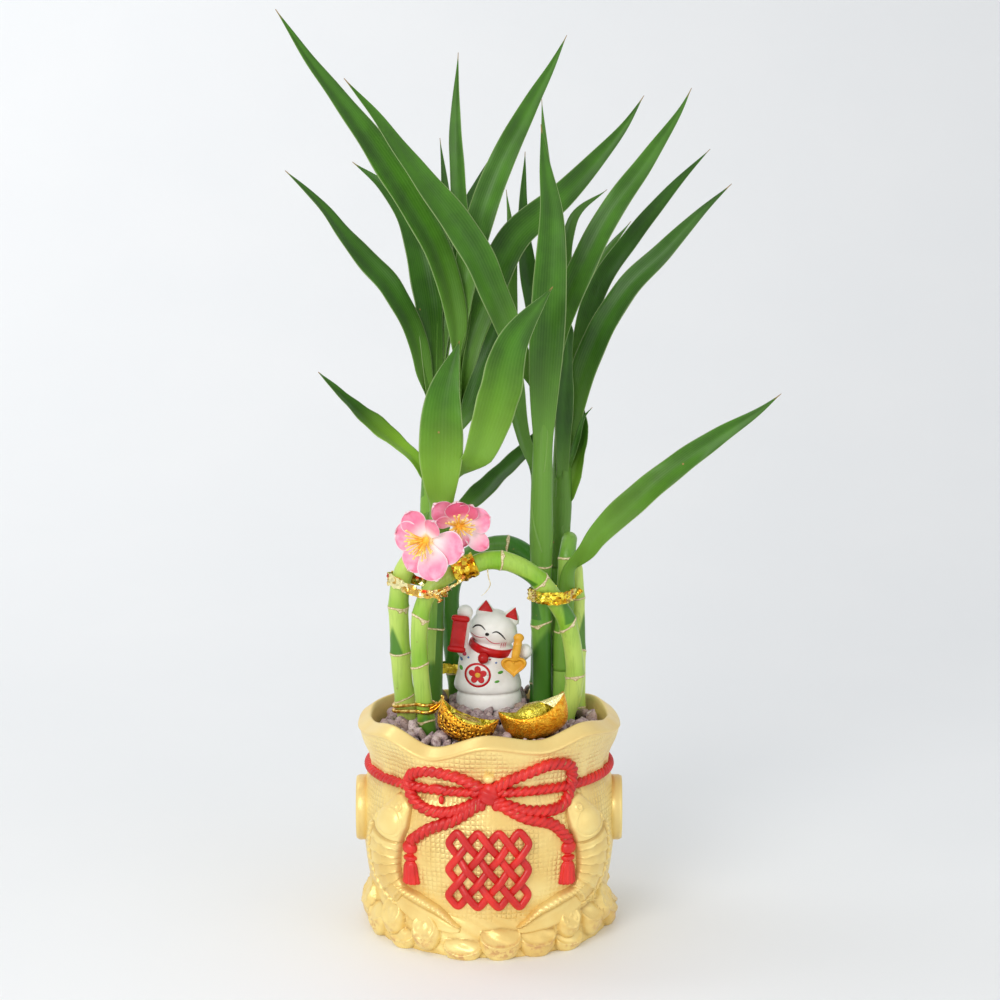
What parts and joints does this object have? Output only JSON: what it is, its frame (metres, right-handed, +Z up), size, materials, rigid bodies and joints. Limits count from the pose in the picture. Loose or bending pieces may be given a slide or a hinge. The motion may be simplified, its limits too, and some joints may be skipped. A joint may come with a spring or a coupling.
{
  "type": "potted lucky bamboo",
  "caption": "Lucky bamboo in a sack-shaped gold pot: arched bare canes and leafy stalks tied with gold foil, silk blossoms, a beckoning cat and gold ingots on gravel.",
  "frame": {"origin": "middle of the pot's foot, on the surface that it stands on", "axes": "+Z up, +Y from the pot's front with the bow to its back, +X to the viewer's right"},
  "size_m": [0.2258, 0.1519, 0.4124],
  "materials": {
    "pot": "matte",
    "gravel": "matte",
    "cane": "satin",
    "leaf": "satin",
    "foil": "polished",
    "petal": "matte",
    "stamen": "matte",
    "figure": "gloss",
    "red_paint": "gloss",
    "charm": "satin",
    "ingot": "gloss"
  },
  "bodies": {
    "root": {"pot": "pot", "gravel": "gravel", "cane_left_outer": "cane", "cane_left_inner": "cane", "cane_arch_front": "cane", "cane_arch_rear": "cane", "cane_right_outer": "cane", "stalk_left_front": "leaf", "stalk_left_rear": "leaf", "stalk_right_front": "leaf", "stalk_right_rear": "leaf", "stalk_right_short": "leaf", "tie_left_top": "foil", "tie_left_foot": "foil", "tie_left_rear": "foil", "tie_right": "foil", "tie_arch": "foil", "bloom_left": "petal", "bloom_left_stamens": "stamen", "bloom_right": "petal", "bloom_right_stamens": "stamen", "cat_figure": "figure", "cat_collar": "red_paint", "cat_scroll": "red_paint", "cat_charm": "charm", "ingot_left": "ingot", "ingot_right": "ingot"}
  },
  "joints": []
}
